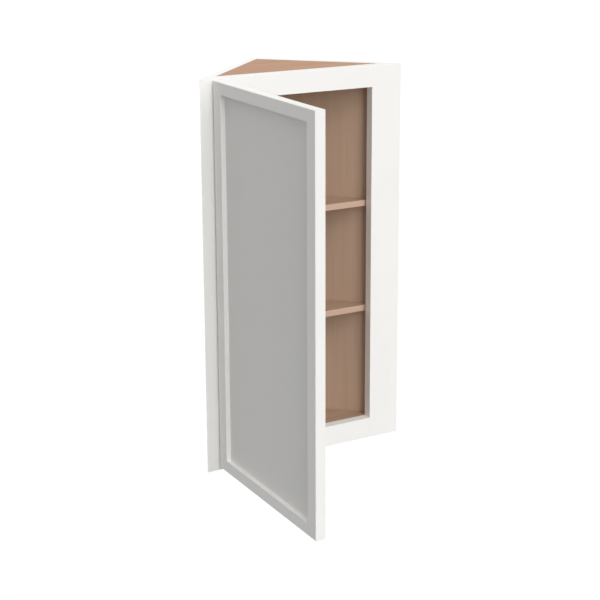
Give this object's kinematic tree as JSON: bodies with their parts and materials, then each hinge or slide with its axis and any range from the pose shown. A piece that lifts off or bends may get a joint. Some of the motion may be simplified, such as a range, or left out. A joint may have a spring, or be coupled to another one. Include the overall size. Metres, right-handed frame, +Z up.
{
  "type": "corner wall cabinet",
  "caption": "Corner wall cabinet with a diagonal face frame, a recessed-panel door on concealed hinges and adjustable triangular shelves.",
  "frame": {"origin": "bottom end of the rear right-angle edge, where the two wall sides meet", "axes": "+Z up; the diagonal front with the door faces -Y; +X to the right as seen from the front"},
  "size_m": [0.431, 0.5949, 0.762],
  "materials": {
    "maple_laminate_board": "maple-look laminate, satin",
    "shelf_edge_band": "maple-look edge band, satin",
    "white_frame_paint": "white satin lacquer",
    "white_door_paint": "white satin lacquer",
    "beech_dowel": "bare beech",
    "zinc_screw": "zinc plated",
    "hinge_screw": "nickel plated",
    "hinge_pin_steel": "turned steel",
    "nickel_hinge_steel": "nickel-plated pressed steel",
    "spring_steel": "oiled spring steel",
    "nickel_pin": "nickel plated",
    "damper_plastic": "light grey acetal",
    "soft_bumper": "clear soft plastic"
  },
  "bodies": {
    "root": {"bottom_deck": "maple_laminate_board", "bottom_frame_rail": "white_frame_paint", "deck_screws": "zinc_screw", "frame_dowels": "beech_dowel", "left_frame_stile": "white_frame_paint", "left_side_panel": "maple_laminate_board", "lower_hinge_arm_pins": "hinge_pin_steel", "lower_hinge_bracket": "nickel_hinge_steel", "lower_hinge_bracket_screws": "hinge_screw", "lower_hinge_spring": "spring_steel", "lower_shelf_pins": "nickel_pin", "right_frame_stile": "white_frame_paint", "right_side_panel": "maple_laminate_board", "top_deck": "maple_laminate_board", "top_frame_rail": "white_frame_paint", "upper_hinge_arm_pins": "hinge_pin_steel", "upper_hinge_bracket": "nickel_hinge_steel", "upper_hinge_bracket_screws": "hinge_screw", "upper_hinge_spring": "spring_steel", "upper_shelf_pins": "nickel_pin"},
    "door": {"door_bottom_rail": "white_door_paint", "door_bumpers": "soft_bumper", "door_free_stile": "white_door_paint", "door_hinge_stile": "white_door_paint", "door_panel": "white_door_paint", "door_top_rail": "white_door_paint", "lower_hinge_centre_pin": "hinge_pin_steel", "lower_hinge_cup": "nickel_hinge_steel", "lower_hinge_cup_screws": "hinge_screw", "lower_hinge_damper": "damper_plastic", "lower_hinge_side_pins": "hinge_pin_steel", "upper_hinge_centre_pin": "hinge_pin_steel", "upper_hinge_cup": "nickel_hinge_steel", "upper_hinge_cup_screws": "hinge_screw", "upper_hinge_damper": "damper_plastic", "upper_hinge_side_pins": "hinge_pin_steel"},
    "side_links": {"lower_hinge_side_links": "nickel_hinge_steel", "upper_hinge_side_links": "nickel_hinge_steel"},
    "centre_links": {"lower_hinge_centre_link": "nickel_hinge_steel", "upper_hinge_centre_link": "nickel_hinge_steel"},
    "lower_shelf": {"lower_shelf": "maple_laminate_board", "lower_shelf_edge_band": "shelf_edge_band"},
    "upper_shelf": {"upper_shelf": "maple_laminate_board", "upper_shelf_edge_band": "shelf_edge_band"}
  },
  "joints": [
    {"name": "door_swing", "type": "hinge", "parent": "root", "child": "door", "pos_m": [-0.18123, -0.22713, 0], "axis": [0, 0, -1], "range_deg": [-90, 15]},
    {"name": "side_link_pivot", "type": "hinge", "parent": "door", "child": "side_links", "pos_m": [-0.17453, -0.22903, 0], "axis": [0, 0, 1], "range_deg": [-103.51, 17.26]},
    {"name": "centre_link_pivot", "type": "hinge", "parent": "door", "child": "centre_links", "pos_m": [-0.17793, -0.23043, 0], "axis": [0, 0, 1], "range_deg": [-97.93, 16.33]},
    {"name": "lower_shelf_lift", "type": "slide", "parent": "root", "child": "lower_shelf", "axis": [0, 0, 1], "range_m": [0, 0.054]},
    {"name": "upper_shelf_lift", "type": "slide", "parent": "root", "child": "upper_shelf", "axis": [0, 0, 1], "range_m": [0, 0.054]}
  ],
  "couplings": [
    {"joint": "side_link_pivot", "follows": "door_swing", "ratio": 1.15},
    {"joint": "centre_link_pivot", "follows": "door_swing", "ratio": 1.088}
  ]
}
